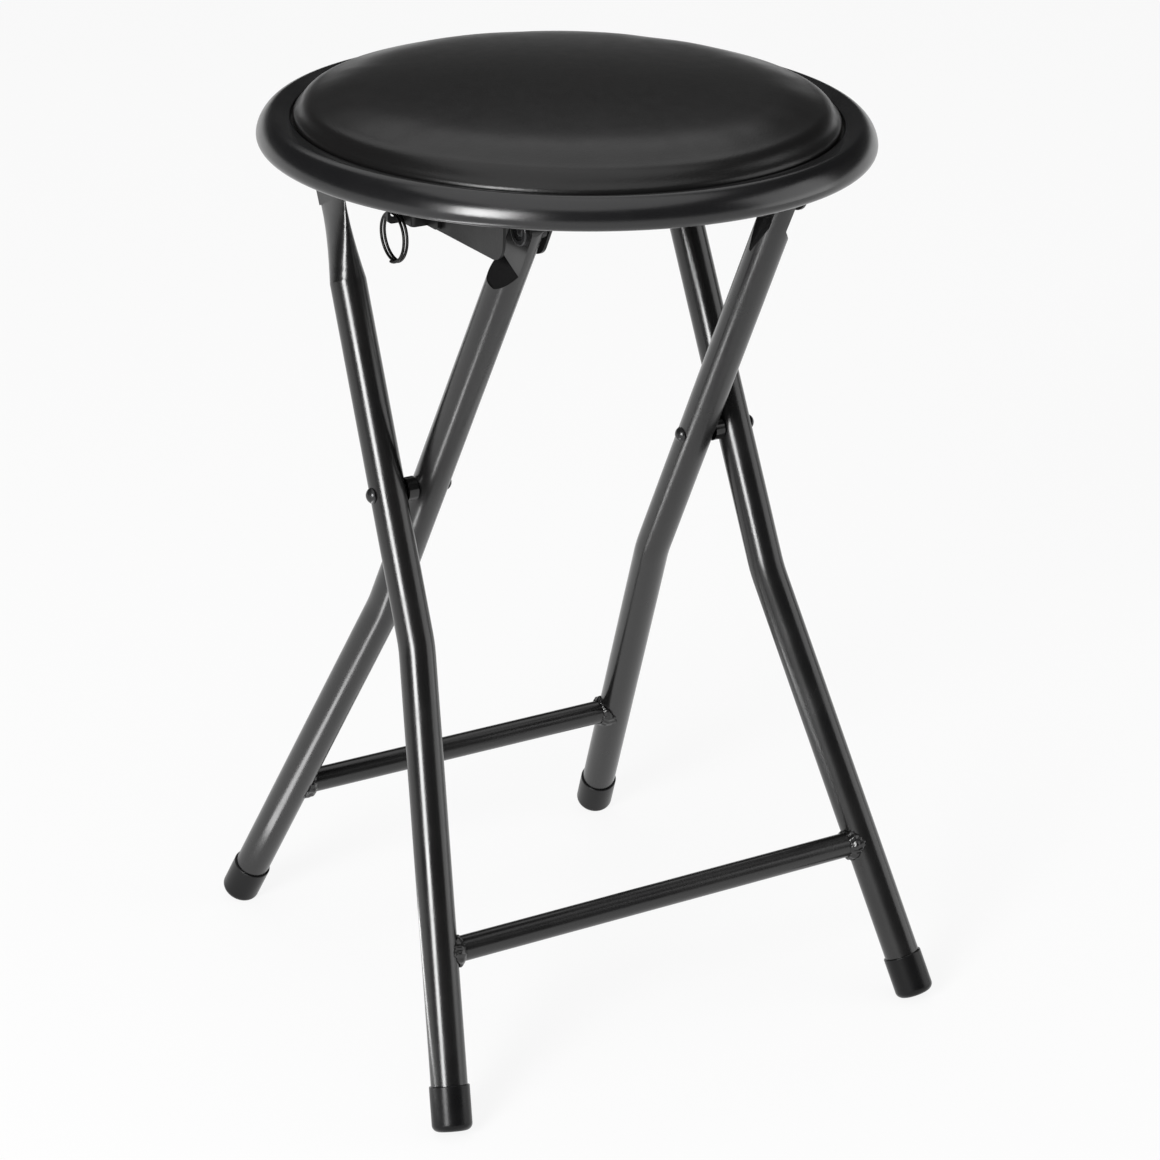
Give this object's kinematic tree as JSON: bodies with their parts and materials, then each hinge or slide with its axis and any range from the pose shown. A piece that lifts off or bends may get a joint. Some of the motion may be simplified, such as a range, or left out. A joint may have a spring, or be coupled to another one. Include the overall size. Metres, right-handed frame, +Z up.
{
  "type": "folding stool",
  "caption": "Round padded folding stool on crossed bent tube legs, with a hinged seat, lock studs, a sprung slide latch and a pull ring.",
  "frame": {"origin": "on the floor under the centre of the seat", "axes": "+Z up, +X along the leg pivots, -Y towards the front stretcher"},
  "size_m": [0.3, 0.3, 0.4725],
  "materials": {
    "powder_coat": "satin",
    "cap_plastic": "satin",
    "rivet_steel": "satin",
    "spacer_nylon": "matte",
    "rail_steel": "satin",
    "screw_steel": "satin",
    "wire_steel": "satin",
    "board": "matte",
    "rim_plastic": "satin",
    "foam": "matte",
    "vinyl": "satin"
  },
  "bodies": {
    "outer_frame": {"outer_left_leg": "powder_coat", "outer_right_leg": "powder_coat", "outer_stretcher": "powder_coat", "outer_weld_beads": "powder_coat", "outer_left_foot_cap": "cap_plastic", "outer_right_foot_cap": "cap_plastic", "left_pivot_rivet": "rivet_steel", "right_pivot_rivet": "rivet_steel", "left_pivot_spacer": "spacer_nylon", "right_pivot_spacer": "spacer_nylon", "left_lock_stud": "rivet_steel", "right_lock_stud": "rivet_steel"},
    "inner_frame": {"inner_left_leg": "powder_coat", "inner_right_leg": "powder_coat", "inner_stretcher": "powder_coat", "inner_weld_beads": "powder_coat", "inner_left_foot_cap": "cap_plastic", "inner_right_foot_cap": "cap_plastic", "left_hinge_rivet": "rivet_steel", "right_hinge_rivet": "rivet_steel", "left_hinge_bush": "spacer_nylon", "right_hinge_bush": "spacer_nylon"},
    "seat": {"seat_board": "board", "seat_rim": "rim_plastic", "seat_foam": "foam", "seat_cover": "vinyl", "left_rail": "rail_steel", "right_rail": "rail_steel", "rail_screws": "screw_steel", "latch_guide_rivets": "rivet_steel", "spring_anchor": "rail_steel", "anchor_rivet": "rivet_steel", "latch_spring": "wire_steel"},
    "latch": {"latch_plate": "rail_steel"},
    "ring": {"pull_ring": "wire_steel"}
  },
  "joints": [
    {"name": "leg_fold", "type": "hinge", "parent": "outer_frame", "child": "inner_frame", "pos_m": [0, -0.0047, 0.2803], "axis": [-1, 0, 0], "range_deg": [0, 48]},
    {"name": "seat_fold", "type": "hinge", "parent": "inner_frame", "child": "seat", "pos_m": [0, -0.0818, 0.43], "axis": [1, 0, 0], "range_deg": [0, 110.4]},
    {"name": "latch_slide", "type": "slide", "parent": "seat", "child": "latch", "axis": [0, -1, 0], "range_m": [0, 0.008], "stiffness_N_per_m": 300, "springref_m": -0.006, "deforming": ["latch_spring"]},
    {"name": "ring_swing", "type": "hinge", "parent": "latch", "child": "ring", "pos_m": [-0.09896, -0.006, 0.4226], "axis": [0, 1, 0], "range_deg": [0, 90]}
  ],
  "couplings": [
    {"joint": "seat_fold", "follows": "leg_fold", "ratio": 2.3}
  ]
}
